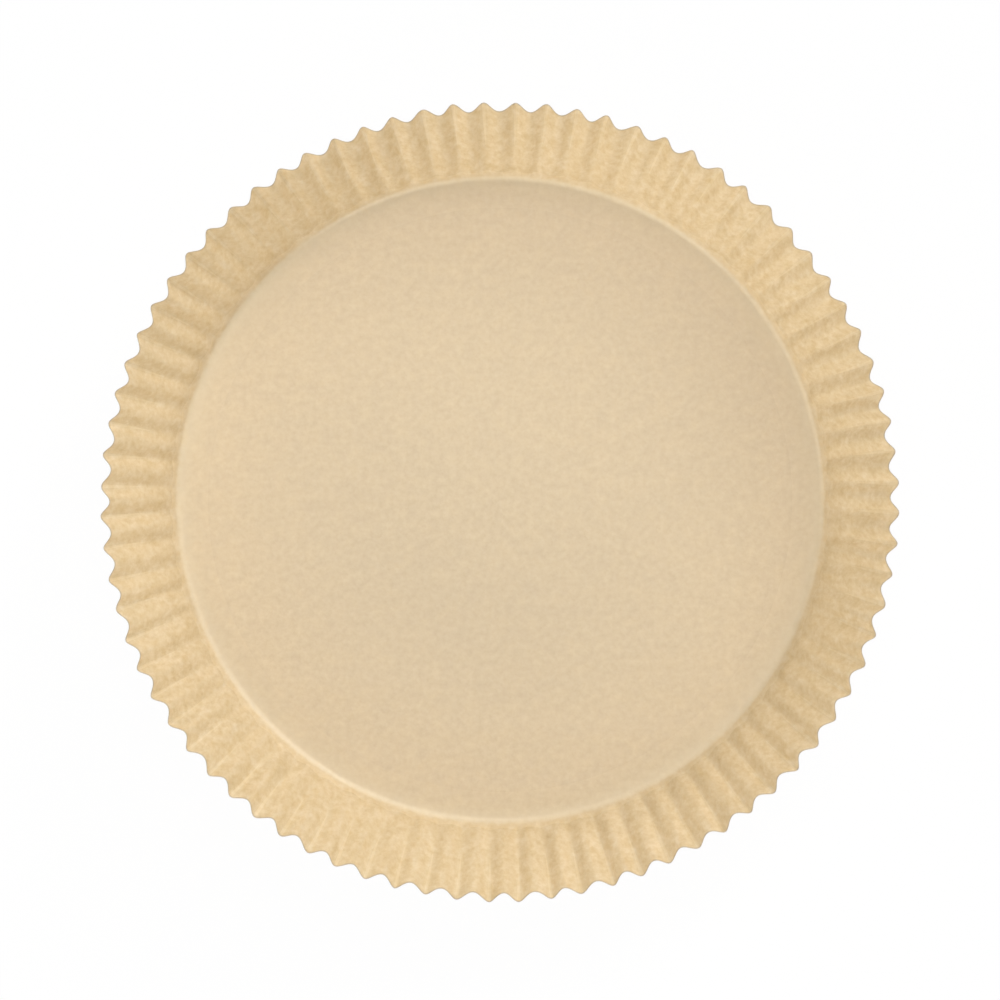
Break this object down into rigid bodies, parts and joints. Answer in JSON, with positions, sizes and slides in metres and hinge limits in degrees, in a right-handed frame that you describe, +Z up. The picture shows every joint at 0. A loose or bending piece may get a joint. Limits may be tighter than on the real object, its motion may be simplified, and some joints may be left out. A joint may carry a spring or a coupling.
{
  "type": "air fryer paper liner",
  "caption": "Round paper liner: a flat floor and a flared wall gathered into radial flutes, laid in an air fryer basket to hold food and catch fat.",
  "frame": {"origin": "middle of the underside of the flat floor, on the surface that the liner stands on", "axes": "+Z up out of the liner's mouth, square to its floor; +X through a valley between two flutes"},
  "size_m": [0.1998, 0.1998, 0.0405],
  "materials": {
    "greaseproof_paper": "unbleached, smooth, faintly translucent"
  },
  "bodies": {
    "root": {"paper_liner": "greaseproof_paper"}
  },
  "joints": []
}
